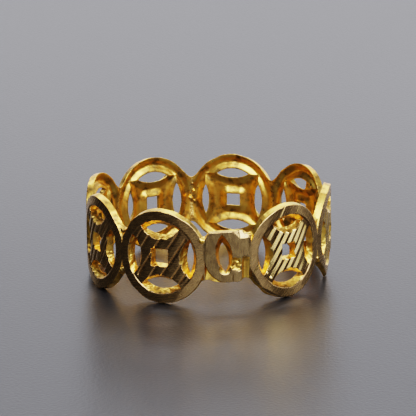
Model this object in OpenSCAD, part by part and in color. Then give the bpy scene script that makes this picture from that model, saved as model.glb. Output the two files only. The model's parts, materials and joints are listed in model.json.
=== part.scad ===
// Pierced gold finger ring: eight cash-pattern coin links, a narrow sizing link and a plain sizing
// plate, bent to one radius and soldered edge to edge into a closed band.
// The finger opening's axis is Z, with the origin half way up it. The sizing section faces -Y.

/* [Band] */
// Inside diameter of the band, the finger opening
bore_d = 17; // [16.9:0.1:17.6]
// Wall thickness of the band
wall_t = 0.54; // [0.45:0.01:0.65]

/* [Coin outline] */
// Radius of a coin at its outer face
coin_r = 3.37; // [3.3:0.01:3.38]
// How much wider a coin's edge is at the finger side
coin_draft = 0.15; // [0.05:0.01:0.2]
// How far each coin is cut back where it meets its neighbour
coin_lap = 0.1; // [0.05:0.01:0.15]
// Width of the flat rim round a coin
rim_w = 0.65; // [0.5:0.01:0.8]

/* [Coin piercings] */
// Width of the middle panel at its narrowest
panel_w = 2.9; // [2.6:0.05:3.1]
// Height of the middle panel at its narrowest
panel_h = 2.65; // [2.5:0.05:3.0]
// Radius of the arc that bounds the panel on each side
panel_arc_r = 1.62; // [1.5:0.01:1.8]
// Width of the square hole at the outer face
hole_w = 1.3; // [1.0:0.05:1.5]
// Height of the square hole at the outer face
hole_h = 1.25; // [1.0:0.05:1.4]
// How much the arc's side of a pointed piercing slopes in towards the finger side
arc_flare = 0.24; // [0.1:0.01:0.3]
// How much the rim's side of a pointed piercing slopes in towards the finger side
rim_flare = 0.2; // [0.1:0.01:0.25]
// How much narrower the square hole and the sizing link's opening are at the finger side
hole_flare = 0.3; // [0.1:0.01:0.4]

/* [Diamond-cut grooves] */
// Spacing of the grooves across the panel
groove_pitch = 0.58; // [0.5:0.01:0.8]
// Depth of a groove
groove_depth = 0.1; // [0.05:0.01:0.15]
// Slope of the grooves from the level
groove_slope = 55; // [40:1:70]

/* [Sizing section] */
// Width of the plain sizing plate
plate_w = 1.2; // [0.9:0.05:1.4]
// Top of the sizing plate's outer face, above the middle of the band
plate_top = 1.55; // [1.2:0.05:1.6]
// How much higher the sizing plate's bevelled top is at the finger side
plate_bevel = 0.4; // [0.1:0.05:0.5]
// Top of the sizing link, above the middle of the band
link_top = 2.0; // [1.5:0.05:2.1]
// Depth of the sizing link and plate below the middle of the band
sizing_drop = 1.74; // [1.3:0.01:1.8]
// Radius of the sizing link's rounded lower edge
link_base_r = 1.9; // [1.7:0.05:2.4]
// Width of the pointed opening in the sizing link, at the outer face
slot_w = 1.2; // [0.9:0.05:1.3]
// Height of the pointed opening in the sizing link, at the outer face
slot_h = 2.6; // [2.2:0.05:2.8]
// How far the pointed opening lies from the link's middle, towards the plate
slot_shift = 0.2; // [0:0.05:0.25]

/* [Solder] */
// Thickness of a solder joint at the finger side
solder_t = 0.18; // [0.1:0.01:0.25]
// Half the height of a coin's solder joint at the outer face
solder_z = 1.4; // [1.2:0.05:1.45]
// How much further a coin's solder joint reaches at the finger side
solder_flow = 0.2; // [0.1:0.05:0.3]

/* [Hidden] */
$fn = 96;
COINS = 8;

ri = bore_d / 2;
ro = ri + wall_t;
over = 0.2;                                 // how far a cutter runs past the surface that it cuts
coin_back_r = coin_r + coin_draft;
pitch = 2 * asin((coin_r - coin_lap) / ro); // angle from one coin's middle to the next
gap = 360 - COINS * pitch;                  // angle of the sizing section
plate_deg = plate_w / ro * 180 / PI;
solder_deg = solder_t / ri * 180 / PI;
seam_at = gap / 2 - plate_deg;              // angle of the seam between the sizing link and plate
link_mid = (seam_at - gap / 2) / 2;
link_half = (seam_at + gap / 2) / 2;
piercing_r = coin_r - rim_w;                // outer bound of the four pointed piercings
grooves = 3;                                // on each side of the panel's middle
groove_zone_r = piercing_r - 0.05;
depth_min = ri * cos(pitch / 2) - over;     // nearest that any coin wall comes to the band's axis

coin_gold = "gold";
plain_gold = "goldenrod";
solder_gold = "darkgoldenrod";

// Coin k's middle, as an angle from -Y towards +X
function coin_at(k) = gap / 2 + pitch * (k + 0.5);

// A size at the outer face, carried to another depth along the coin's own axis
function at_depth(size, grow, depth) = size + grow * (ro - depth) / wall_t;

// What lies between two planes through the band's axis, at half_deg each side of -Y
module sector(half_deg) {
    reach = 2 * ro;
    rotate([0, 0, -90])
        linear_extrude(height = 4 * coin_back_r, center = true)
            polygon([
                [0, 0],
                [reach * cos(half_deg), -reach * sin(half_deg)],
                [reach * cos(half_deg), reach * sin(half_deg)]
            ]);
}

// The curved wall of the band
module wall() {
    difference() {
        cylinder(h = 3 * coin_back_r, r = ro, center = true);
        cylinder(h = 4 * coin_back_r, r = ri, center = true);
    }
}

// A cone about the -Y axis that has radius r at the outer face, and r + grow a wall's thickness in
module radial_cone(r, grow) {
    depth_max = ro + over;
    rotate([90, 0, 0])
        translate([0, 0, depth_min])
            cylinder(
                h = depth_max - depth_min,
                r1 = at_depth(r, grow, depth_min),
                r2 = at_depth(r, grow, depth_max)
            );
}

// One pointed piercing, between the rim and the arc that starts reach above the coin's middle
module pointed_piercing(reach) {
    intersection() {
        radial_cone(piercing_r, -rim_flare);
        translate([0, 0, reach + panel_arc_r]) radial_cone(panel_arc_r, -arc_flare);
    }
}

// A bar along Z whose width is w at the outer face, narrowing towards the finger side
module flared_bar(w) {
    half_out = at_depth(w, -hole_flare, ro + over) / 2;
    half_in = at_depth(w, -hole_flare, ri - over) / 2;
    linear_extrude(height = 2 * coin_r, center = true)
        polygon([
            [-half_in, over - ri], [half_in, over - ri],
            [half_out, -ro - over], [-half_out, -ro - over]
        ]);
}

module square_hole() {
    intersection() {
        flared_bar(hole_w);
        rotate([0, 90, 0]) flared_bar(hole_h);
    }
}

// V-shaped cuts across the panel only, each one square to the wall where it crosses the middle
module diamond_cuts() {
    side = groove_depth * sqrt(2);
    step = groove_pitch / sin(groove_slope) / ro * 180 / PI;
    intersection() {
        rotate([90, 0, 0]) cylinder(h = ro + over, r = groove_zone_r);
        union() {
            for (i = [-grooves : grooves])
                rotate([0, 0, (i + 0.5) * step])
                    translate([0, -ro, 0])
                        rotate([0, 90 - groove_slope, 0])
                            rotate([0, 0, 45])
                                cube([side, side, 4 * coin_r], center = true);
        }
    }
}

// A coin link that faces -Y
module coin_link() {
    color(coin_gold)
        difference() {
            intersection() {
                wall();
                radial_cone(coin_r, coin_draft);
                sector(pitch / 2 - solder_deg / 2);
            }
            for (turn = [0, 180])
                rotate([0, turn, 0]) pointed_piercing(panel_h / 2);
            for (turn = [90, 270])
                rotate([0, turn, 0]) pointed_piercing(panel_w / 2);
            square_hole();
            diamond_cuts();
        }
}

// The sizing link's outline, seen along the radius: a flat top and a rounded lower edge
module link_outline() {
    intersection() {
        translate([-coin_r, -sizing_drop]) square([2 * coin_r, sizing_drop + link_top]);
        translate([0, link_base_r - sizing_drop])
            union() {
                circle(r = link_base_r);
                translate([-link_base_r, 0]) square([2 * link_base_r, 2 * link_base_r]);
            }
    }
}

// The pointed opening of the sizing link, where two cones cross
module link_slot() {
    arc_r = (slot_h * slot_h + slot_w * slot_w) / (4 * slot_w);
    offset_x = arc_r - slot_w / 2;
    intersection_for (side = [-1, 1])
        translate([side * offset_x, 0, 0]) radial_cone(arc_r, -hole_flare / 2);
}

module sizing_link() {
    color(plain_gold)
        rotate([0, 0, link_mid])
            difference() {
                intersection() {
                    wall();
                    sector(link_half - solder_deg / 2);
                    rotate([90, 0, 0]) linear_extrude(height = ro + over) link_outline();
                }
                rotate([0, 0, slot_shift / ro * 180 / PI]) link_slot();
            }
}

// A plain piece of the band, its middle at an angle from -Y. Its top and bottom are given at the
// outer face, with how much further each one reaches at the finger side.
module band_piece(at, width_deg, top, top_flow, bottom, bottom_flow) {
    rotate([0, 0, at - 90 - width_deg / 2])
        rotate_extrude(angle = width_deg)
            polygon([
                [ri, -bottom - bottom_flow], [ro, -bottom],
                [ro, top], [ri, top + top_flow]
            ]);
}

module sizing_plate() {
    color(plain_gold)
        band_piece(
            gap / 2 - plate_deg / 2, plate_deg - solder_deg,
            plate_top, plate_bevel, sizing_drop, 0
        );
}

// A solder joint: a thin wedge that fills the gap between two cut ends
module solder(at, top, top_flow, bottom, bottom_flow) {
    color(solder_gold) band_piece(at, solder_deg, top, top_flow, bottom, bottom_flow);
}

for (k = [0 : COINS - 1])
    rotate([0, 0, coin_at(k)]) coin_link();
sizing_link();
sizing_plate();
for (k = [0 : COINS - 2])
    solder(coin_at(k) + pitch / 2, solder_z, solder_flow, solder_z, solder_flow);
solder(-gap / 2, solder_z, 0, solder_z, 0);  // solder_8_link
solder(seam_at, plate_top, plate_bevel, sizing_drop, 0);  // solder_link_plate
solder(gap / 2, solder_z, 0, solder_z, 0);  // solder_plate_1
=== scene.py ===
import json
import math

import bpy
import numpy as np
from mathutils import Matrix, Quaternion, Vector


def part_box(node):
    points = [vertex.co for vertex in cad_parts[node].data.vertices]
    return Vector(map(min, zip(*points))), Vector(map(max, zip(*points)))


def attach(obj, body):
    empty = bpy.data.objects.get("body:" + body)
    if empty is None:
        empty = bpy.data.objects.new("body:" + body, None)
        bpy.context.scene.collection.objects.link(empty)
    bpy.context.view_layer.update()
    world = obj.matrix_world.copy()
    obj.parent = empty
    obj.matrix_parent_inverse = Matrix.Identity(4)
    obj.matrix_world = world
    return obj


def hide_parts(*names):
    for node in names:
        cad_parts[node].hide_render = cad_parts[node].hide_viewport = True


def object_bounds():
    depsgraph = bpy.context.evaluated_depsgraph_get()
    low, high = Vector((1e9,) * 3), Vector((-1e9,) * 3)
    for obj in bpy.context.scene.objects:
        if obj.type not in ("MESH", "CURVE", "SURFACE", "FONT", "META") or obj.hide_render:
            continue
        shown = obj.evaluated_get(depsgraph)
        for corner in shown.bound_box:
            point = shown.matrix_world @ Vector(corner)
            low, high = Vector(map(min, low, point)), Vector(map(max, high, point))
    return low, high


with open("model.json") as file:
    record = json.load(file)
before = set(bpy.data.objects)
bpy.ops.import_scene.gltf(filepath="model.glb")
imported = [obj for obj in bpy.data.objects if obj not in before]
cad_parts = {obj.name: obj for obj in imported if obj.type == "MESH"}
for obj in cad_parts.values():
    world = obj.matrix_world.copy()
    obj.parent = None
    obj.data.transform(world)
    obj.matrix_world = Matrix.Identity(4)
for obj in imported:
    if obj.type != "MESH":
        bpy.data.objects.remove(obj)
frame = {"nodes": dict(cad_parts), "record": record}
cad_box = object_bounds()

# The ring is shaped flat, in millimetres, and then bent to its radius, as the real one was.
# u runs round the band, measured on its outer face, v is height, and w is depth: 0 at the
# outer face and -WALL at the finger side.

MM = 0.001
CELL = 0.036        # grid spacing that the coins are meshed at
FINE_CELL = 0.6 * CELL                       # and the sizing section

# ---------------------------------------------------------------- sizes from the frame

COINS = [f"coin_{k}" for k in range(1, 9)]


def cad_points(node):
    """The vertices of a CAD node, in millimetres."""
    mesh = frame["nodes"][node].data
    points = np.empty(len(mesh.vertices) * 3)
    mesh.vertices.foreach_get("co", points)
    return points.reshape(-1, 3) / MM


def azimuth(node):
    """Where a CAD node lies round the band, as an angle from -Y towards +X."""
    x, y, _ = cad_points(node).mean(axis=0)
    return math.atan2(x, -y) % (2 * math.pi)


BORE_R = frame["record"]["mounts"][0]["dims"]["r_mm"]
OUTER_R = float(np.hypot(*cad_points("coin_1")[:, :2].T).max())
WALL = OUTER_R - BORE_R
COIN_BACK_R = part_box("coin_1")[1].z / MM
SIZING_DROP = -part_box("sizing_plate")[0].z / MM
LINK_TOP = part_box("sizing_link")[1].z / MM
PLATE_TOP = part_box("sizing_plate")[1].z / MM    # at the finger side, above its bevel

# where each solder joint lies, as a distance round the outer face
JOINTS = ["solder_plate_1"] + [f"solder_{k}_{k + 1}" for k in range(1, 8)] + ["solder_8_link"]
JOINT_U = [azimuth(name) * OUTER_R for name in JOINTS]
SEAM_U = azimuth("solder_link_plate") * OUTER_R
FULL_U = 2 * math.pi * OUTER_R
COIN_U = [(a + b) / 2 for a, b in zip(JOINT_U, JOINT_U[1:])]

# ---------------------------------------------------------------- design sizes, in millimetres

COIN_R = 3.37              # a coin's radius at its outer face
RIM_W = 0.65               # width of the flat rim
PANEL_HALF = (1.47, 1.31)  # half the panel's width and height, at its narrowest
PANEL_ARC_R = 1.62         # the arcs that bound the panel
HOLE_HALF = (0.66, 0.61)   # half the square hole's width and height
ARC_FLARE = 0.36           # how much the panel's side of a pointed piercing slopes inwards
ARC_FLATTEN = 1.2          # how much longer the arc's radius is at the finger side
RIM_FLARE = (0.26, 0.36)   # how much the rim's side slopes, beside the panel and above or below it
HOLE_FLARE = 0.16          # and each side of the square hole
MELT = 0.35                # how far neighbouring piercings round into each other at the finger side
RIM_HOLLOW = 0.34          # depth of the channel behind the rim
PANEL_HOLLOW = 0.24        # and of the hollow behind the panel
HOLLOW_RUN = 0.62          # distance in which a hollow reaches its full depth
LEAST_WALL = 0.09          # what a hollow leaves in front of it
RIM_LIP, LIP = 0.08, 0.02  # width of the lip left round the coin and round each piercing
NECK_BLEND = 1.04          # how far solder rounds the valley between two coins
NECK_DIP = 0.13            # how far that solder lies below the coins' faces
WEB_DIP = 0.24             # and the web below the sizing link's shoulder
PLATE_BEVEL = 0.5          # height of the bevel along the plate's top edge
SOLDER_HALF = 0.14         # half the width of a solder joint
SEAM_HALF = 0.06           # and of the seam between the sizing link and plate
SIZING_BLEND = 0.4         # how far solder rounds the corner between a coin and the sizing section
BLEND_HALF = 0.12          # how far each side of a joint one part's shape passes into the next's
OVERLAP = 0.12             # how far neighbouring pieces run into each other
END_SINK = 0.014           # how far a piece's own end sinks below its neighbour's surface
FAR = 9.0                  # longer than any distance that matters
CUT_SLOPE = math.radians(56)
CUT_REACH = 2.4            # how far from a coin's middle its diamond cuts go
SLIP_DEPTH, SLIP_HALF = 0.035, 0.07     # depth and half the width of a slip of the cutter
EDGE_BEVEL = 0.19          # width of the bevel at the lower left of coin_1
FILED, CAST, BRIGHT, PANEL = range(4)        # the materials of a piece, in order

# from coin_1 to coin_8: depth of the diamond cuts, and the flat left between two of them
CUT_DEPTH = (0.15, 0.12, 0.11, 0.11, 0.11, 0.12, 0.1, 0.1)
CUT_GAP = (0.27, 0.2, 0.22, 0.22, 0.22, 0.22, 0.36, 0.42)


def unit_waves(seed, wavelength, count=20):
    """A smooth random field of about unit height, made of plane waves of one rough wavelength."""
    rng = np.random.default_rng(seed)
    heading = rng.normal(size=(count, 3))
    heading /= np.linalg.norm(heading, axis=1)[:, None]
    number = heading * (2 * math.pi / wavelength) * rng.uniform(0.6, 1.5, (count, 1))
    phase = rng.uniform(0, 2 * math.pi, count)

    def field(u, v, w):
        total = 0.0
        for k, p in zip(number, phase):
            total = total + np.sin(k[0] * u + k[1] * v + k[2] * w + p)
        return total * math.sqrt(2 / count) * 0.7

    return field


def smooth_min(a, b, k):
    """The smaller of a and b, rounded where they are within k of each other."""
    h = np.clip(k - np.abs(a - b), 0, None) / k
    return np.minimum(a, b) - h * h * k / 4


def smooth_step(low, high, x):
    t = np.clip((x - low) / (high - low), 0, 1)
    return t * t * (3 - 2 * t)


def box_distance(x, y, half_x, half_y, corner):
    """Distance to a rectangle with rounded corners; negative inside."""
    qx = np.abs(x) - half_x + corner
    qy = np.abs(y) - half_y + corner
    outside = np.hypot(np.clip(qx, 0, None), np.clip(qy, 0, None))
    return outside + np.minimum(np.maximum(qx, qy), 0) - corner


def oval_distance(x, y, half_w, half_h):
    """Distance to an upright pointed oval; negative inside."""
    arc = (half_h ** 2 + half_w ** 2) / (2 * half_w)
    return np.hypot(np.abs(x) + arc - half_w, y) - arc


def inwards(w):
    """0 at the outer face, 1 at the finger side."""
    return np.clip(-w / WALL, -0.2, 1.2)


# ---------------------------------------------------------------- the coin links

class Coin:
    """One coin link: its outline, piercings, cuts and file marks, each a little different."""

    def __init__(self, index):
        rng = np.random.default_rng(100 + index)
        self.mid = COIN_U[index]
        self.unevenness = 0.006
        self.rough = unit_waves(300 + index, 0.42)
        self.fine = unit_waves(400 + index, 0.14)
        self.cast = unit_waves(500 + index, 0.6)
        # flats filed on the edge: direction and depth
        self.flats = [(rng.uniform(0, 2 * math.pi), rng.uniform(0.015, 0.045)) for _ in range(7)]
        # flats filed on the rim's face: direction, where each starts, and slope
        self.faces = []
        heading = rng.uniform(0, 1)
        while heading < 2 * math.pi + 0.4:
            self.faces.append((heading, COIN_R - RIM_W, rng.uniform(0.01, 0.1)))
            heading += rng.uniform(0.45, 1.1)
        self.hole_shift = rng.uniform(-0.05, 0.05, 2)
        self.hole_grow = rng.uniform(-0.04, 0.05, 2)
        self.arc_shift = rng.uniform(-0.06, 0.06, 4)
        self.arc_flare = ARC_FLARE + rng.uniform(-0.05, 0.1, 4)
        self.lean = (rng.uniform(0, 2 * math.pi), rng.uniform(0.01, 0.03))
        # diamond cuts: place across the panel, depth, width of the narrow and the broad side
        place = -CUT_REACH + rng.uniform(-0.1, 0.1)
        self.cuts = []
        while place < CUT_REACH:
            narrow, broad = rng.uniform(0.06, 0.09), rng.uniform(0.22, 0.31)
            self.cuts.append((place, CUT_DEPTH[index] * rng.uniform(0.8, 1.1), narrow, broad))
            place += broad + narrow + CUT_GAP[index] * rng.uniform(0.6, 1.3)
        # where the cutter slipped over the rim: place across, 1 for its upper end or -1 for its lower
        self.slips = []
        # casting flash left across the upper piercing: place across, lean and half its width
        self.flash = []
        # how ragged the casting left the outer edges of the two side piercings
        self.burrs = 0.0
        self.snags = unit_waves(600 + index, 0.5)

    def outline(self, u, v, t):
        x = u - self.mid
        growth = (COIN_BACK_R - COIN_R) * t
        edge = np.hypot(x, v) - COIN_R - growth
        for heading, depth in self.flats:
            along = x * math.cos(heading) + v * math.sin(heading)
            edge = np.maximum(edge, along - COIN_R + depth - growth)
        return edge

    def piercings(self, u, v, t):
        """Distance to the nearest piercing; negative inside one."""
        x = u - self.mid
        radius = np.hypot(x, v)
        nearest = np.full(np.broadcast(x, v, t).shape, FAR)
        sides = ((0, 1, 1), (0, -1, 1), (1, 0, 0), (-1, 0, 0))
        for (dx, dy, axis), shift, flare in zip(sides, self.arc_shift, self.arc_flare):
            arc = PANEL_ARC_R + ARC_FLATTEN * t
            reach = PANEL_HALF[axis] + shift + flare * t + arc
            inner = np.hypot(x - dx * reach, v - dy * reach) - arc
            across = radius - (COIN_R - RIM_W - RIM_FLARE[axis] * t)
            nearest = smooth_min(nearest, np.maximum(across, inner), 0.01 + MELT * np.clip(t, 0, 1))
        hole = box_distance(
            x - self.hole_shift[0], v - self.hole_shift[1],
            HOLE_HALF[0] + self.hole_grow[0] - HOLE_FLARE * t,
            HOLE_HALF[1] + self.hole_grow[1] - HOLE_FLARE * t,
            0.05,
        )
        nearest = np.minimum(nearest, hole)
        for place, lean, half in self.flash:
            bar = np.maximum(np.abs(x - place + lean * (v - 1.75)) - half, 1 - v)
            nearest = np.maximum(nearest, -np.maximum(bar, WALL * (np.abs(t - 0.45) - 0.3)))
        if self.burrs:
            # only left and right of the panel, and only towards the outer face
            ragged = smooth_step(1.2, 1.5, np.abs(x)) * smooth_step(0.7, 0.2, t)
            nearest = nearest + self.burrs * ragged * self.snags(u, v, 0)
        return nearest

    def cut_depth(self, u, v):
        x = u - self.mid
        s = x * math.sin(CUT_SLOPE) - v * math.cos(CUT_SLOPE)
        depth = np.zeros_like(s)
        for place, deep, narrow, broad in self.cuts:
            fall = deep * (s - place) / narrow
            rise = deep * (1 - (s - place - narrow) / broad)
            depth = np.maximum(depth, np.minimum(fall, rise))
        radius = np.hypot(x, v)
        depth = depth * smooth_step(CUT_REACH + 0.1, CUT_REACH - 0.1, radius)
        along = x * math.cos(CUT_SLOPE) + v * math.sin(CUT_SLOPE)
        for place, end in self.slips:
            scratch = SLIP_DEPTH * np.clip(1 - np.abs(s - place) / SLIP_HALF, 0, 1)
            depth = np.maximum(depth, scratch * (radius > CUT_REACH) * (end * along > 0))
        return depth

    def plain_front(self, u, v):
        """Height of the outer face before the diamond cuts."""
        x = u - self.mid
        radius = np.hypot(x, v)
        panel = smooth_step(COIN_R - RIM_W + 0.02, COIN_R - RIM_W - 0.1, radius)
        heading, slope = self.lean
        lean = slope * (x * math.cos(heading) + v * math.sin(heading)) / 2
        height = panel * (-0.06 + 0.06 * (1 - (radius / 2.6) ** 2) + lean)
        for heading, start, slope in self.faces:
            along = x * math.cos(heading) + v * math.sin(heading)
            height = np.minimum(height, slope * (start - along))
        return height - 0.006

    def front(self, u, v):
        """Height of the outer face."""
        return self.plain_front(u, v) - self.cut_depth(u, v)

    def face_kind(self, u, v):
        """Which material the outer face takes."""
        flat = np.where(np.hypot(u - self.mid, v) < COIN_R - RIM_W, PANEL, FILED)
        return np.where(self.cut_depth(u, v) > 0.012, BRIGHT, flat)

    def back(self, u, v, inside):
        """Height of the hollow at the finger side, inside being the distance in from its edges."""
        run = smooth_step(0, HOLLOW_RUN, inside)
        panel = smooth_step(COIN_R - RIM_W + 0.1, COIN_R - RIM_W - 0.5, np.hypot(u - self.mid, v))
        depth = RIM_HOLLOW + (PANEL_HOLLOW - RIM_HOLLOW) * panel
        return -WALL + 0.012 + depth * run, run


def beyond(u, v, piece, neighbours):
    """How far a point lies outside the outlines of a piece and its neighbours, at the outer face."""
    level = np.zeros_like(u)
    distance = piece.outline(u, v, level)
    for other, _ in neighbours:
        distance = np.minimum(distance, other.outline(u, v, level))
    return distance


def joined_outline(u, v, t, piece, neighbours):
    edge = piece.outline(u, v, t)
    for other, blend in neighbours:
        edge = smooth_min(edge, other.outline(u, v, t), blend)
    return edge


def solid(u, v, w, piece, neighbours, beads, rough):
    """Signed field of a piece that flows into its neighbours; negative inside."""
    t = inwards(w)
    edge = joined_outline(u, v, t, piece, neighbours)
    holes = piece.piercings(u, v, t)
    one = np.ones_like(t)
    back_edge = joined_outline(u, v, one, piece, neighbours)
    inside = smooth_min(-back_edge - RIM_LIP, piece.piercings(u, v, one) - LIP, 0.3)
    back, run = piece.back(u, v, inside)
    dip = NECK_DIP * smooth_step(0.0, 0.1, beyond(u, v, piece, neighbours))
    front = piece.front(u, v) - dip
    if rough:
        bumps = piece.rough(u, v, w)
        fine = piece.fine(u, v, w)
        edge = edge + piece.unevenness * bumps + 0.002 * fine
        holes = holes - 0.015 * bumps - (0.002 + 0.01 * t) * fine
        back = back + (0.008 * piece.cast(u, v, 0) * run + 0.001 * fine)
        front = front + 0.25 * dip * bumps
    back = np.minimum(back, front - LEAST_WALL)
    body = np.maximum(np.maximum(edge, -holes), np.maximum(w - front, back - w))
    for place_u, place_v, place_w, radius in beads:
        ball = np.sqrt((u - place_u) ** 2 + (v - place_v) ** 2 + (w - place_w) ** 2) - radius
        body = smooth_min(body, ball, 0.1)
    return body


# ---------------------------------------------------------------- the sizing section

def polygon_distance(x, y, corners):
    """Signed distance to a closed outline; negative inside."""
    nearest = np.full(np.broadcast(x, y).shape, 1e9)
    inside = np.zeros(nearest.shape, bool)
    for (ax, ay), (bx, by) in zip(corners, corners[1:] + corners[:1]):
        along = ((x - ax) * (bx - ax) + (y - ay) * (by - ay)) / ((bx - ax) ** 2 + (by - ay) ** 2)
        along = np.clip(along, 0, 1)
        nearest = np.minimum(nearest, np.hypot(x - ax - along * (bx - ax), y - ay - along * (by - ay)))
        if ay != by:
            crosses = ((ay > y) != (by > y)) & (x < (bx - ax) * (y - ay) / (by - ay) + ax)
            inside ^= crosses
    return np.where(inside, -nearest, nearest)


class SizingSection:
    """The sizing link and the plate beside it, filed over as one strip between two coins."""

    def __init__(self, left, right, seam):
        self.seam = seam
        self.unevenness = 0.025
        top, low = LINK_TOP, -SIZING_DROP
        self.corners = [
            (left, 1.35), (left + 0.42, top - 0.06), (-0.3, top - 0.02), (0.4, top),
            (1.2, PLATE_TOP), (right, PLATE_TOP - 0.3), (right, low + 0.2), (1.3, low + 0.24),
            (1.12, low + 0.17), (0.85, low), (-0.3, low), (-0.9, low + 0.07), (-1.5, low + 0.22),
            (left, low + 0.17),
        ]
        # the pointed opening: its middle and half its width and height at the outer face,
        # and how much each of them changes on the way to the finger side
        self.slot, self.slot_drift = (-0.27, 0.38), (0.05, -0.36)
        self.slot_half, self.slot_shrink = (0.61, 1.48), (0.24, 0.41)
        self.slot_lean = 0.1
        # where the rest lies: the link's rounded shoulder (middle and radius), the dent (middle and
        # half sizes), the crater in it, the bevel round the slot's foot, and the pit in the top edge
        self.shoulder, self.shoulder_r = (0.38, 2.02 - SIZING_DROP), 2.12
        self.dent, self.dent_half = (0.6, -0.4), (0.5, 0.62)
        self.crater, self.crater_r = (0.54, -0.54), 0.28
        self.foot, self.foot_r = (-0.19, -0.68), 0.5
        self.pit = (1.38, PLATE_TOP - 0.05)
        self.rough = unit_waves(700, 0.5)
        self.fine = unit_waves(701, 0.14)
        self.cast = unit_waves(702, 0.5)
        self.sponge = unit_waves(703, 0.24)

    def outline(self, u, v, t):
        return polygon_distance(u, v, self.corners) - 0.03 * t

    def piercings(self, u, v, t):
        y = v - self.slot[1] - self.slot_drift[1] * t
        x = u - self.slot[0] - self.slot_drift[0] * t + self.slot_lean * y
        half_w = self.slot_half[0] - self.slot_shrink[0] * t
        half_h = self.slot_half[1] - self.slot_shrink[1] * t
        return oval_distance(x, y, half_w, half_h)

    def ground(self, u, v):
        """Depth of the rough ground below the filed face."""
        # the web between coin_8 and the link's rounded shoulder
        shoulder = np.hypot(u - self.shoulder[0], v - self.shoulder[1]) - self.shoulder_r
        web = smooth_step(-0.02, 0.06, shoulder) * smooth_step(0.1, -0.2, v) * (u < 0)
        web = web * (WEB_DIP + 0.24 * (v + 1.1))
        # a dent with a crater in it, right of the slot's foot
        across, along = (u - self.dent[0]) / self.dent_half[0], (v - self.dent[1]) / self.dent_half[1]
        reach = np.hypot(across, along) + 0.1 * self.rough(u, v, 0)
        crater = np.hypot(u - self.crater[0], v - self.crater[1]) + 0.04 * self.rough(v, u, 1)
        lip = np.exp(-((crater - self.crater_r) / 0.1) ** 2)
        spongy = 0.018 * np.clip(self.sponge(u, v, 0), -1, 1) * smooth_step(1.1, 0.6, reach)
        dent = 0.14 * smooth_step(1.1, 0.25, reach) + 0.04 * smooth_step(0.24, 0.06, crater)
        dent = dent - 0.03 * lip + spongy
        # the bevel round the slot's foot
        foot = self.foot_r - np.hypot(u - self.foot[0], v - self.foot[1])
        foot = 0.62 * np.clip(foot, 0, 0.3) * smooth_step(-0.5, -0.75, v)
        # the lower ground right of the link's foot, and a pit in the top edge above it
        ledge = 0.2 * smooth_step(1.0, 1.24, u) - 0.1 * smooth_step(1.3, 1.6, u)
        ledge = ledge * smooth_step(0.25, -0.35, v)
        top_pit = 0.2 * smooth_step(0.18, 0.05, np.hypot(u - self.pit[0], v - self.pit[1]))
        return np.maximum.reduce([web, dent, foot, ledge, top_pit, np.zeros_like(u)])

    def front(self, u, v):
        """Height of the outer face."""
        # the bevel filed on the top edge, right of the slot
        start = PLATE_TOP - PLATE_BEVEL * smooth_step(0.3, 1.0, u)
        bevel = 0.7 * (start - v) + 0.006 * self.sponge(u, v, 0)
        height = np.minimum(-0.012, bevel)
        crack = smooth_step(0.03, 0.0, np.abs(u - self.seam + 0.05)) * smooth_step(-1.1, -1.3, v)
        return height - self.ground(u, v) - 0.05 * crack

    def face_kind(self, u, v):
        return np.where(self.ground(u, v) < 0.03, FILED, CAST)

    def back(self, u, v, inside):
        run = np.clip(inside / 0.3, 0, 1)
        return -WALL + 0.012 + 0.05 * run, run


class Shifted:
    """A piece seen from the other end of the flat strip, a whole turn away."""

    def __init__(self, piece, shift):
        self.piece, self.shift = piece, shift
        self.unevenness = piece.unevenness

    def outline(self, u, v, t):
        return self.piece.outline(u - self.shift, v, t)

    def piercings(self, u, v, t):
        return self.piece.piercings(u - self.shift, v, t)

    def front(self, u, v):
        return self.piece.front(u - self.shift, v)

    def face_kind(self, u, v):
        return self.piece.face_kind(u - self.shift, v)

    def back(self, u, v, inside):
        return self.piece.back(u - self.shift, v, inside)

    def rough(self, u, v, w):
        return self.piece.rough(u - self.shift, v, w)

    def fine(self, u, v, w):
        return self.piece.fine(u - self.shift, v, w)

    def cast(self, u, v, w):
        return self.piece.cast(u - self.shift, v, w)


# ---------------------------------------------------------------- from a field to a mesh

CORNERS = [(i, j, k) for i in (0, 1) for j in (0, 1) for k in (0, 1)]
EDGES = [
    (a, b) for n, a in enumerate(CORNERS) for b in CORNERS[n + 1:]
    if sum(abs(p - q) for p, q in zip(a, b)) == 1
]


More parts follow.
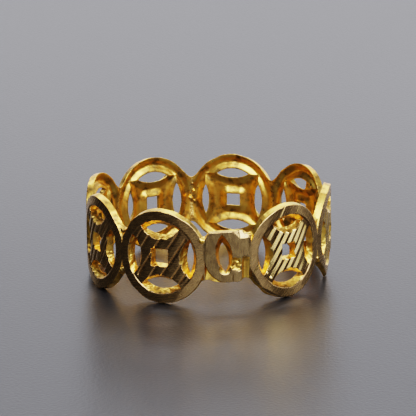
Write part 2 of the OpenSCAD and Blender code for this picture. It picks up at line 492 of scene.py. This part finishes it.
def surface_net(field, low, high, cell):
    """The surface where field is zero, as points and quads. Field is negative inside."""
    counts = [int(math.ceil((h - l) / cell)) + 1 for l, h in zip(low, high)]
    axes = [l + cell * np.arange(n) for l, n in zip(low, counts)]
    grid = np.meshgrid(*axes, indexing="ij")
    value = field(*grid, False)
    inside = value < 0
    n0, n1, n2 = counts
    total = np.zeros((n0 - 1, n1 - 1, n2 - 1), np.int8)
    for i, j, k in CORNERS:
        total += inside[i:n0 - 1 + i, j:n1 - 1 + j, k:n2 - 1 + k]
    mixed = np.argwhere((total > 0) & (total < 8))
    number = np.full(total.shape, -1)
    number[tuple(mixed.T)] = np.arange(len(mixed))
    place = np.zeros((len(mixed), 3))
    hits = np.zeros(len(mixed))
    for a, b in EDGES:
        fa = value[tuple((mixed + a).T)]
        fb = value[tuple((mixed + b).T)]
        crossed = (fa < 0) != (fb < 0)
        share = np.where(crossed, fa / np.where(crossed, fa - fb, 1), 0)
        step = np.array(a) + share[:, None] * (np.array(b) - np.array(a))
        place += np.where(crossed[:, None], step, 0)
        hits += crossed
    points = np.array(low) + cell * (mixed + place / hits[:, None])
    quads = []
    for axis in range(3):
        p, q = [(1, 2), (2, 0), (0, 1)][axis]
        start = [slice(None)] * 3
        stop = [slice(None)] * 3
        start[axis], stop[axis] = slice(0, -1), slice(1, None)
        flips = inside[tuple(start)] != inside[tuple(stop)]
        at = np.argwhere(flips)
        at = at[(at[:, p] > 0) & (at[:, q] > 0) & (at[:, p] < counts[p] - 1) & (at[:, q] < counts[q] - 1)]
        outwards = inside[tuple(at.T)]
        ring = []
        for dp, dq in ((-1, -1), (0, -1), (0, 0), (-1, 0)):
            c = at.copy()
            c[:, p] += dp
            c[:, q] += dq
            ring.append(number[tuple(c.T)])
        ring = np.stack(ring, axis=1)
        ring[~outwards] = ring[~outwards][:, ::-1]
        quads.append(ring)
    return points, np.concatenate(quads)


def settle(field, points, cell):
    """Moves points onto the rough zero surface by short Newton steps."""
    for _ in range(3):
        u, v, w = points.T
        value = field(u, v, w, True)
        d = cell * 0.15
        slope = np.stack([
            field(u + d, v, w, True) - field(u - d, v, w, True),
            field(u, v + d, w, True) - field(u, v - d, w, True),
            field(u, v, w + d, True) - field(u, v, w - d, True),
        ], axis=1) / (2 * d)
        size = (slope ** 2).sum(axis=1).clip(0.2)
        move = -value[:, None] * slope / size[:, None]
        length = np.linalg.norm(move, axis=1).clip(1e-9)
        move *= np.minimum(1, 0.3 * cell / length)[:, None]
        points = points + move
    return points


def bend(points):
    """Flat coordinates in millimetres to places on the ring in metres."""
    radius = OUTER_R + points[:, 2]
    angle = points[:, 0] / OUTER_R
    return np.stack([radius * np.sin(angle), -radius * np.cos(angle), points[:, 1]], axis=1) * MM


def make_piece(name, node, field, low, high, cell, materials, kind_of):
    points, quads = surface_net(field, low, high, cell)
    points = settle(field, points, cell)
    mesh = bpy.data.meshes.new(name)
    mesh.vertices.add(len(points))
    mesh.vertices.foreach_set("co", bend(points).astype(np.float32).ravel())
    mesh.loops.add(quads.size)
    mesh.loops.foreach_set("vertex_index", quads.ravel().astype(np.int32))
    mesh.polygons.add(len(quads))
    mesh.polygons.foreach_set("loop_start", np.arange(0, quads.size, 4, dtype=np.int32))
    mesh.update(calc_edges=True)
    mesh.validate()
    mesh.shade_smooth()
    flat = mesh.attributes.new("flat", "FLOAT_VECTOR", "POINT")
    flat.data.foreach_set("vector", points.astype(np.float32).ravel())
    for material in materials:
        mesh.materials.append(material)
    kinds = kind_of(points[quads].mean(axis=1))
    mesh.polygons.foreach_set("material_index", kinds.astype(np.int32))
    piece = bpy.data.objects.new(name, mesh)
    bpy.context.scene.collection.objects.link(piece)
    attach(piece, "root")
    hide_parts(node)
    return piece


# ---------------------------------------------------------------- materials

def principled(name):
    material = bpy.data.materials.new(name)
    material.use_nodes = True
    nodes = material.node_tree.nodes
    return material, nodes, material.node_tree.links, nodes["Principled BSDF"]


def gold(name, colour, dark, roughness, grain_scale, grain_depth, streak=None, tones=(0.75, 1.07),
         grain_share=0.8, tarnish_at=None):
    """Gold with a mottled tone and a fine surface: cast grain, or streaks where streak is given."""
    material, nodes, links, shader = principled(name)
    shader.inputs["Metallic"].default_value = 1.0
    place = nodes.new("ShaderNodeAttribute")
    place.attribute_name = "flat"
    tone = nodes.new("ShaderNodeTexNoise")
    tone.inputs["Scale"].default_value = 1.6
    tone.inputs["Detail"].default_value = 3.0
    links.new(place.outputs["Vector"], tone.inputs["Vector"])
    grain = nodes.new("ShaderNodeTexNoise")
    grain.inputs["Scale"].default_value = grain_scale
    grain.inputs["Detail"].default_value = 4.0
    source = place.outputs["Vector"]
    if streak is not None:
        turn = nodes.new("ShaderNodeMapping")
        turn.vector_type = "TEXTURE"
        turn.inputs["Rotation"].default_value = (0, 0, streak)
        turn.inputs["Scale"].default_value = (9, 1, 1)
        links.new(source, turn.inputs["Vector"])
        source = turn.outputs["Vector"]
    links.new(source, grain.inputs["Vector"])
    both = nodes.new("ShaderNodeMath")
    both.operation = "MULTIPLY_ADD"
    both.inputs[1].default_value = grain_share
    links.new(grain.outputs["Fac"], both.inputs[0])
    links.new(tone.outputs["Fac"], both.inputs[2])
    ramp = nodes.new("ShaderNodeValToRGB")
    ramp.color_ramp.elements[0].position = tones[0]
    ramp.color_ramp.elements[0].color = (*dark, 1)
    ramp.color_ramp.elements[1].position = tones[1]
    ramp.color_ramp.elements[1].color = (*colour, 1)
    if tarnish_at is not None:
        spot = ramp.color_ramp.elements.new(tarnish_at)
        spot.color = (*TARNISH, 1)
    links.new(both.outputs["Value"], ramp.inputs["Fac"])
    links.new(ramp.outputs["Color"], shader.inputs["Base Color"])
    polish = nodes.new("ShaderNodeMapRange")
    polish.inputs["From Min"].default_value = 0.3
    polish.inputs["From Max"].default_value = 0.7
    polish.inputs["To Min"].default_value = roughness[0]
    polish.inputs["To Max"].default_value = roughness[1]
    links.new(grain.outputs["Fac"], polish.inputs["Value"])
    links.new(polish.outputs["Result"], shader.inputs["Roughness"])
    bump = nodes.new("ShaderNodeBump")
    bump.inputs["Strength"].default_value = 1.0
    bump.inputs["Distance"].default_value = grain_depth * MM
    links.new(grain.outputs["Fac"], bump.inputs["Height"])
    links.new(bump.outputs["Normal"], shader.inputs["Normal"])
    return material


GOLD = (1.0, 0.66, 0.15)
GOLD_DARK = (0.92, 0.53, 0.11)
FILED_TONE, FILED_DARK = (0.82, 0.55, 0.25), (0.61, 0.4, 0.19)
LINK_TONE, LINK_DARK = (0.64, 0.45, 0.21), (0.46, 0.31, 0.15)
BRIGHT_GOLD, BRIGHT_GOLD_DARK = (1.0, 0.74, 0.31), (1.0, 0.68, 0.22)
SOLDER, SOLDER_DARK = (1.0, 0.7, 0.24), (0.6, 0.35, 0.1)
DULL_TONE, DULL_DARK = (0.42, 0.27, 0.12), (0.26, 0.16, 0.07)
TARNISH = (0.42, 0.27, 0.08)


def filed(name, colour, dark, heading_deg):
    """Gold with file streaks, at an angle from the level."""
    return gold(
        name, colour, dark, roughness=(0.2, 0.3), grain_scale=14.0, grain_depth=0.008,
        streak=math.radians(heading_deg),
    )


slanting = filed("filed_gold_slanting", FILED_TONE, FILED_DARK, 50)
level = filed("filed_gold_level", FILED_TONE, FILED_DARK, 8)
upright = filed("filed_gold_upright", LINK_TONE, LINK_DARK, 88)
dull = filed("filed_gold_dull", DULL_TONE, DULL_DARK, 40)
cast_gold = gold(
    "cast_gold", GOLD, GOLD_DARK, roughness=(0.27, 0.39), grain_scale=7.0, grain_depth=0.004,
    tones=(0.55, 0.7), grain_share=0.15, tarnish_at=0.43,
)
bright_gold = gold(
    "bright_gold", BRIGHT_GOLD, BRIGHT_GOLD_DARK, roughness=(0.14, 0.2), grain_scale=11.0,
    grain_depth=0.001, streak=CUT_SLOPE, tones=(0.65, 0.97),
)
solder_tone = gold(
    "solder_tone", SOLDER, SOLDER_DARK, roughness=(0.22, 0.42), grain_scale=6.0, grain_depth=0.03,
)

# ---------------------------------------------------------------- the pieces

coins = [Coin(index) for index in range(len(COINS))]
# what sets five coins apart: a wider wall in one piercing, a filed facet, a bevel at the lower
# left, three slips of the cutter, a lower edge that is filed straight and leans inwards, a bar of
# casting flash, and ragged edges
coins[7].arc_flare[2] += 0.2
coins[7].faces.append((math.radians(-38), COIN_R - RIM_W, 0.13))
coins[0].faces += [(math.radians(heading), COIN_R - EDGE_BEVEL, 1.2) for heading in (212, 238)]
coins[0].slips = [(-0.95, 1), (-2.2, 1), (-1.83, -1)]
coins[1].flats.append((math.radians(237), 0.4))
coins[1].faces.append((math.radians(270), 1.5, 0.16))
coins[2].flash.append((-0.42, 0.35, 0.09))
coins[3].burrs = 0.15
left_end, right_end = JOINT_U[-1] - FULL_U, JOINT_U[0]
seam = SEAM_U - FULL_U if SEAM_U > FULL_U / 2 else SEAM_U
sizing = SizingSection(left_end - 0.1, right_end + 0.1, seam)


def make_beads():
    """Beads of solder in each valley, and a cluster inside one joint, as (u, v, w, radius)."""
    rng = np.random.default_rng(60)
    beads = []
    for joint in JOINT_U[1:-1]:
        for side in (-1, 1):
            for _ in range(3):
                beads.append((
                    joint + rng.uniform(-0.22, 0.22), side * rng.uniform(1.15, 1.45),
                    rng.uniform(-0.45, -0.12), rng.uniform(0.05, 0.11),
                ))
    inner = JOINT_U[4]
    for _ in range(6):
        beads.append((
            inner + rng.uniform(-0.35, 0.3), rng.uniform(-0.2, 0.7), rng.uniform(-0.5, -0.4),
            rng.uniform(0.07, 0.13),
        ))
    for shift in (0, FULL_U):
        beads.append((left_end - 0.24 + shift, 1.33, -0.2, 0.22))
        beads.append((right_end - 0.02 + shift, 1.6, -0.28, 0.17))
    return beads


BEADS = make_beads()


def blended(parts, u, value_of):
    """A value that passes smoothly from each part of the band to the next."""
    _, piece, neighbours = parts[0]
    value = value_of(piece, neighbours)
    for start, piece, neighbours in parts[1:]:
        share = smooth_step(start - BLEND_HALF, start + BLEND_HALF, u)
        value = value + share * (value_of(piece, neighbours) - value)
    return value


def field_of(parts, low_u, high_u):
    """The field of a slice of the band. parts lists where each piece starts, with its neighbours."""
    beads = [bead for bead in BEADS if low_u - 0.4 < bead[0] < high_u + 0.4]

    def field(u, v, w, rough):
        body = blended(parts, u, lambda piece, others: solid(u, v, w, piece, others, beads, rough))
        to_end = np.minimum(u - low_u, high_u - u)
        body = body + END_SINK * smooth_step(OVERLAP, 0, to_end)
        return np.maximum(body, -to_end)

    return field


def kinds_of(parts):
    """Which material each face takes: filed outer faces, bright cuts, and cast gold elsewhere."""
    def kind_of(centres):
        u, v, w = centres.T
        kind = np.full(len(u), CAST)
        front = blended(parts, u, lambda piece, others: piece.front(u, v))
        for start, piece, neighbours in parts:
            flush = (np.abs(w - front) < 0.02) & (beyond(u, v, piece, neighbours) < 0.03)
            here = np.where(flush, piece.face_kind(u, v), CAST)
            kind = np.where(u < start, kind, here)
        return kind
    return kind_of


def around(index):
    """A coin's neighbours, each with how far solder rounds the valley between them."""
    before = (coins[index - 1], NECK_BLEND) if index else (sizing, SIZING_BLEND)
    after = (coins[index + 1], NECK_BLEND) if index < 7 else (Shifted(sizing, FULL_U), SIZING_BLEND)
    return [before, after]


MARGIN = 0.1
TOP = COIN_BACK_R + MARGIN
SIZING_TOP = 2.4           # well above everything between two coins
LOWEST_U = -99.0           # where the first part of a piece starts: left of the whole strip


def make_slice(node, parts, low_u, high_u, top, cell, materials):
    """One piece of the band, from low_u to high_u. Its neighbours carry on where it ends."""
    low_u, high_u = low_u - OVERLAP, high_u + OVERLAP
    make_piece(
        f"{node}_gold", node, field_of(parts, low_u, high_u),
        (low_u - MARGIN, -top, -WALL - 2 * MARGIN), (high_u + MARGIN, top, MARGIN),
        cell, materials, kinds_of(parts),
    )


RIM_MARKS = (slanting, level) * 4
SHADED_SIDE_CUTS = ("coin_7", "coin_8")       # painted shade: the cuts of the two coins on the ring's dark front-left side take their rims' darker filed gold instead of bright gold
DULL_PANELS = ("coin_1",)              # the flats between its cuts are darker than its rim
for index, name in enumerate(COINS):
    make_slice(
        name, [(LOWEST_U, coins[index], around(index))],
        JOINT_U[index] + SOLDER_HALF, JOINT_U[index + 1] - SOLDER_HALF, TOP, CELL,
        [
            RIM_MARKS[index], cast_gold,
            # painted shade: cuts on the dark front-left coins take the rim's filed gold, not bright gold
            RIM_MARKS[index] if name in SHADED_SIDE_CUTS else bright_gold,
            dull if name in DULL_PANELS else RIM_MARKS[index],
        ],
    )

for index in range(7):
    joint = JOINT_U[index + 1]
    make_slice(
        f"solder_{index + 1}_{index + 2}",
        [(LOWEST_U, coins[index], around(index)), (joint, coins[index + 1], around(index + 1))],
        joint - SOLDER_HALF, joint + SOLDER_HALF, SIZING_TOP, CELL,
        [RIM_MARKS[index], solder_tone, bright_gold, RIM_MARKS[index]],
    )

last_coin = Shifted(coins[7], -FULL_U)
last_around = [(Shifted(coins[6], -FULL_U), NECK_BLEND), (sizing, SIZING_BLEND)]
sizing_around = [(last_coin, SIZING_BLEND), (coins[0], SIZING_BLEND)]
sizing_part = (left_end, sizing, sizing_around)
for node, slot, parts, low_u, high_u in (
    ("sizing_link", "sizing_gold", [sizing_part], left_end + SOLDER_HALF, seam - SEAM_HALF),
    ("sizing_plate", "sizing_gold", [sizing_part], seam + SEAM_HALF, right_end - SOLDER_HALF),
    ("solder_link_plate", "solder_gold", [sizing_part], seam - SEAM_HALF, seam + SEAM_HALF),
    ("solder_8_link", "solder_gold", [(LOWEST_U, last_coin, last_around), sizing_part],
     left_end - SOLDER_HALF, left_end + SOLDER_HALF),
    ("solder_plate_1", "solder_gold", [sizing_part, (right_end, coins[0], around(0))],
     right_end - SOLDER_HALF, right_end + SOLDER_HALF),
):
    make_slice(
        node, parts, low_u, high_u, SIZING_TOP, FINE_CELL,
        [upright, cast_gold, bright_gold, upright],
    )

# ---------------------------------------------------------------- floor, light and camera

FLOOR_Z = cad_box[0].z
FLOOR_GRAIN = 0.02 * MM
FLOOR_HALF = 1.2
FLOOR_DARK, FLOOR_PALE = (0.014, 0.014, 0.015), (0.024, 0.024, 0.025)
FLOOR_SPECKS = 4000.0
FLOOR_ROUGHNESS = 0.33
DAYLIGHT = (0.985, 0.985, 1.05)      # the colour of every light and of the studio
BRIGHT_SIDE = math.radians(150)      # the studio's bright side, from -Y towards +X
BRIGHT_TONE, DARK_TONE = 0.5, 0.027
# the studio brightens from where its direction is this far along the bright side, by this power
BRIGHT_FROM, BRIGHT_CURVE = -0.05, 2.0
# name, azimuth and elevation in degrees, distance, width, height and brightness
PANELS = (
    ("back_top", 175, 49, 0.33, 0.34, 0.22, 2.3),
    ("key", 8, 46, 0.36, 0.42, 0.32, 4.4),
    ("stripe_card", 27, 12, 0.3, 0.24, 0.09, 0.72),
    ("backdrop", 168, 6, 0.125, 0.28, 0.058, 0.9),
    ("right_side", 85, 22, 0.3, 0.12, 0.12, 2.4),
    ("left_high", -68, 48, 0.36, 0.3, 0.2, 0.4),
    ("overhead", 0, 84, 0.36, 0.3, 0.3, 0.8),
)


def make_floor():
    mesh = bpy.data.meshes.new("floor")
    sides = ((-1, -1), (1, -1), (1, 1), (-1, 1))
    corners = [(x * FLOOR_HALF, y * FLOOR_HALF, FLOOR_Z) for x, y in sides]
    mesh.from_pydata(corners, [], [(0, 1, 2, 3)])
    floor = bpy.data.objects.new("floor", mesh)
    bpy.context.scene.collection.objects.link(floor)
    material, nodes, links, shader = principled("floor_card")
    place = nodes.new("ShaderNodeTexCoord")
    speck = nodes.new("ShaderNodeTexNoise")
    speck.inputs["Scale"].default_value = FLOOR_SPECKS
    speck.inputs["Detail"].default_value = 3.0
    links.new(place.outputs["Object"], speck.inputs["Vector"])
    ramp = nodes.new("ShaderNodeValToRGB")
    ramp.color_ramp.elements[0].position = 0.3
    ramp.color_ramp.elements[0].color = (*FLOOR_DARK, 1)
    ramp.color_ramp.elements[1].position = 0.7
    ramp.color_ramp.elements[1].color = (*FLOOR_PALE, 1)
    links.new(speck.outputs["Fac"], ramp.inputs["Fac"])
    links.new(ramp.outputs["Color"], shader.inputs["Base Color"])
    shader.inputs["Roughness"].default_value = FLOOR_ROUGHNESS
    bump = nodes.new("ShaderNodeBump")
    bump.inputs["Distance"].default_value = FLOOR_GRAIN
    links.new(speck.outputs["Fac"], bump.inputs["Height"])
    links.new(bump.outputs["Normal"], shader.inputs["Normal"])
    mesh.materials.append(material)


def make_panel(name, azimuth_deg, elevation_deg, distance, size_x, size_y, brightness):
    """A soft light that faces the ring. Its power follows from its size and how bright it looks."""
    a, e = math.radians(azimuth_deg), math.radians(elevation_deg)
    place = Vector((math.sin(a) * math.cos(e), -math.cos(a) * math.cos(e), math.sin(e))) * distance
    light = bpy.data.lights.new(name, "AREA")
    light.shape = "RECTANGLE"
    light.size, light.size_y = size_x, size_y
    light.energy = brightness * math.pi * size_x * size_y
    light.color = DAYLIGHT
    lamp = bpy.data.objects.new(name, light)
    lamp.location = place
    lamp.rotation_mode = "QUATERNION"
    lamp.rotation_quaternion = (-place).to_track_quat("-Z", "Y")
    lamp.visible_camera = False
    bpy.context.scene.collection.objects.link(lamp)


def make_world():
    """A studio that is bright on one side, behind the ring and to its right, and dark opposite."""
    world = bpy.data.worlds.new("studio")
    bpy.context.scene.world = world
    world.use_nodes = True
    nodes, links = world.node_tree.nodes, world.node_tree.links
    place = nodes.new("ShaderNodeTexCoord")
    towards = nodes.new("ShaderNodeVectorMath")
    towards.operation = "DOT_PRODUCT"
    towards.inputs[1].default_value = (math.sin(BRIGHT_SIDE), -math.cos(BRIGHT_SIDE), 0)
    links.new(place.outputs["Generated"], towards.inputs[0])
    rise = nodes.new("ShaderNodeMapRange")
    rise.inputs["From Min"].default_value = BRIGHT_FROM
    links.new(towards.outputs["Value"], rise.inputs["Value"])
    curve = nodes.new("ShaderNodeMath")
    curve.operation = "POWER"
    curve.inputs[1].default_value = BRIGHT_CURVE
    links.new(rise.outputs["Result"], curve.inputs[0])
    tone = nodes.new("ShaderNodeMath")
    tone.operation = "MULTIPLY_ADD"
    tone.inputs[1].default_value = BRIGHT_TONE
    tone.inputs[2].default_value = DARK_TONE
    links.new(curve.outputs["Value"], tone.inputs[0])
    links.new(tone.outputs["Value"], nodes["Background"].inputs["Strength"])
    nodes["Background"].inputs["Color"].default_value = (*DAYLIGHT, 1)


make_floor()
make_world()
for panel in PANELS:
    make_panel(*panel)
bpy.context.scene.view_settings.view_transform = "Filmic"
bpy.context.scene.view_settings.look = "High Contrast"

CAMERA_AZIMUTH = math.radians(-8.5)
CAMERA_ELEVATION = math.radians(14.9)
CAMERA_DISTANCE = 30 * OUTER_R * MM
SENSOR = 36.0
LENS = 318.0
# how far right of and below the picture's middle the ring's middle stands, as slopes
AIM_RIGHT, AIM_DOWN = 0.000136, 0.0052095
ROLL = math.radians(0.63)


def make_camera():
    data = bpy.data.cameras.new("camera")
    data.lens = LENS
    data.sensor_width = SENSOR
    data.clip_start, data.clip_end = 0.01, 10
    camera = bpy.data.objects.new("camera", data)
    bpy.context.scene.collection.objects.link(camera)
    a, e = CAMERA_AZIMUTH, CAMERA_ELEVATION
    back = Vector((math.sin(a) * math.cos(e), -math.cos(a) * math.cos(e), math.sin(e)))
    camera.location = back * CAMERA_DISTANCE
    camera.rotation_mode = "QUATERNION"
    look = (-back).to_track_quat("-Z", "Y").to_matrix()
    right, up = look.col[0], look.col[1]
    aim = -back - right * AIM_RIGHT + up * AIM_DOWN
    camera.rotation_quaternion = Quaternion(aim, ROLL) @ aim.to_track_quat("-Z", "Y")
    bpy.context.scene.camera = camera


make_camera()
